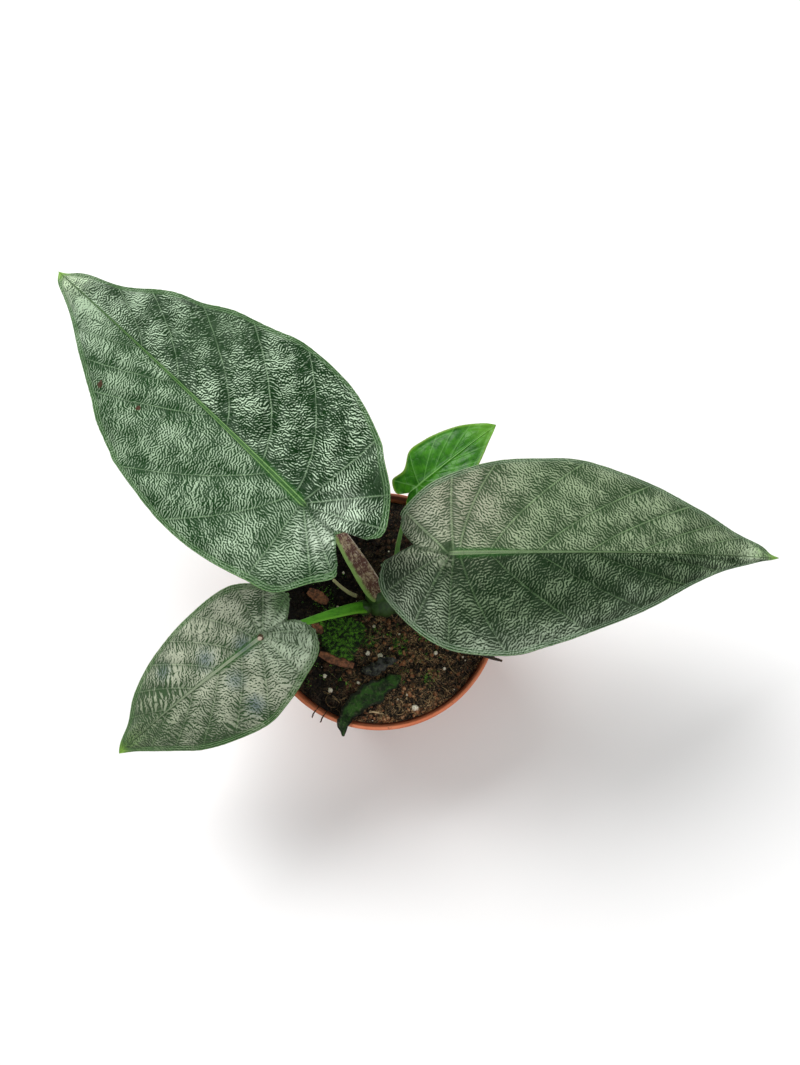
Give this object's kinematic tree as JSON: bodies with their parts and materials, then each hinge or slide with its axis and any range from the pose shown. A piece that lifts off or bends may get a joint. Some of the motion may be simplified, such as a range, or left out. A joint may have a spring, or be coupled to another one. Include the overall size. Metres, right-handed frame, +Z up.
{
  "type": "potted antoro velvet alocasia",
  "caption": "Velvet-leaved alocasia house plant in a round nursery pot, with arrow-shaped crinkled leaves on petioles over bark soil; a free-standing decoration.",
  "frame": {"origin": "centre of the pot's foot, on the surface it stands on", "axes": "+Z up; +X to the right of the picture, toward the right leaf; +Y to the top of the picture"},
  "size_m": [0.3339, 0.2172, 0.2245],
  "materials": {
    "pot_plastic": "matt terracotta coloured moulded plastic",
    "potting_soil": "damp bark and peat crumbs with perlite, fibres and moss",
    "crown_green": "smooth green sheath bases",
    "petiole_mottled": "satin green stalk mottled purple brown",
    "petiole_green": "satin bright green stalk",
    "dry_stalk": "dry pale straw",
    "velvet_blade": "velvety pewter green with a fine crinkled net",
    "young_blade": "glossy fresh green with a yellowish edge",
    "dead_leaf_skin": "limp dark green to black decayed leaf",
    "bark": "rough reddish brown bark"
  },
  "bodies": {
    "root": {"pot": "pot_plastic", "soil": "potting_soil", "crown": "crown_green", "petiole_large": "petiole_mottled", "petiole_right": "petiole_mottled", "petiole_left": "petiole_green", "petiole_young": "petiole_green", "old_stalk": "dry_stalk", "blade_large": "velvet_blade", "blade_right": "velvet_blade", "blade_left": "velvet_blade", "blade_young": "young_blade", "dead_leaf": "dead_leaf_skin", "black_scrap": "dead_leaf_skin", "bark_chip_long": "bark", "bark_chip_left": "bark", "bark_chip_small": "bark", "rim_twig": "bark"}
  },
  "joints": []
}
